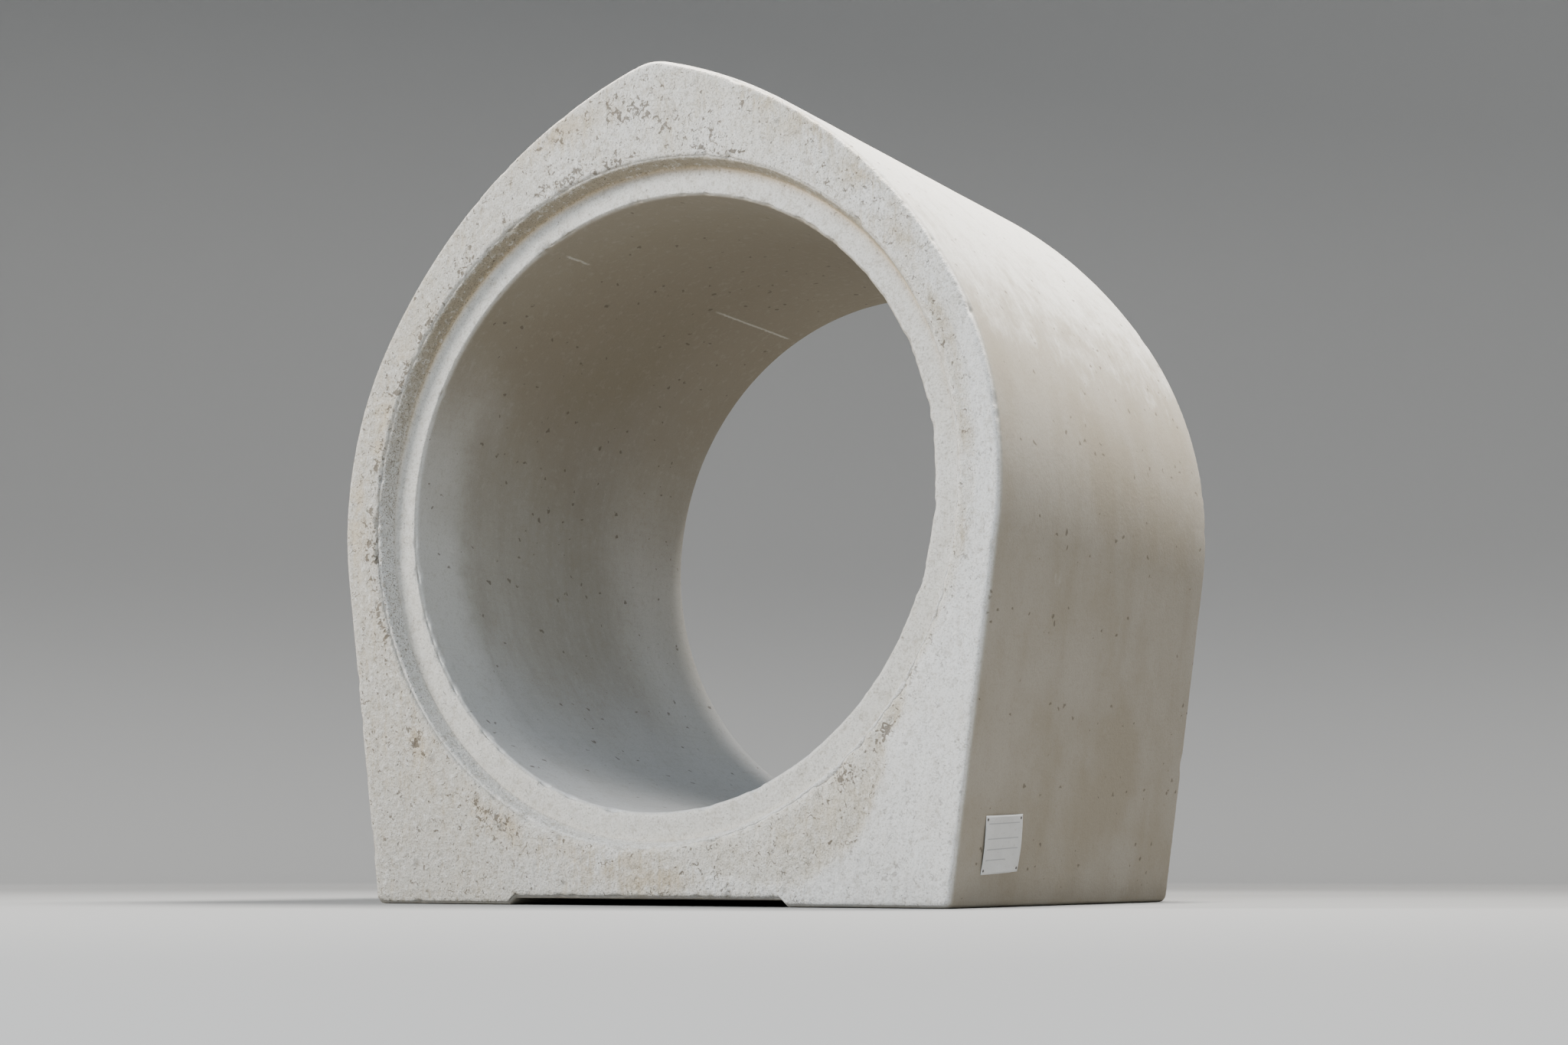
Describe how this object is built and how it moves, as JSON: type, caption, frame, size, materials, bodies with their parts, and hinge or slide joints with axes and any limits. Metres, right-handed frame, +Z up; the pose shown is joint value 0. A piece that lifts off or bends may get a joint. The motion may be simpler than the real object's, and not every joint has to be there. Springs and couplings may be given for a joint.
{
  "type": "concrete culvert pipe",
  "caption": "Short concrete culvert pipe with a round bore, a pointed thickened crown, a flat recessed foot and rebated joint ends.",
  "frame": {"origin": "middle of the foot's underside, level with the floor, halfway along the pipe's whole length with its tongue", "axes": "+Z up, Y along the bore from the grooved end at -Y to the tongued end at +Y, X across the pipe"},
  "size_m": [1.51, 1.04, 1.6451],
  "materials": {
    "concrete": "matte, cast, finely pitted"
  },
  "bodies": {
    "root": {"concrete_pipe": "concrete"}
  },
  "joints": []
}
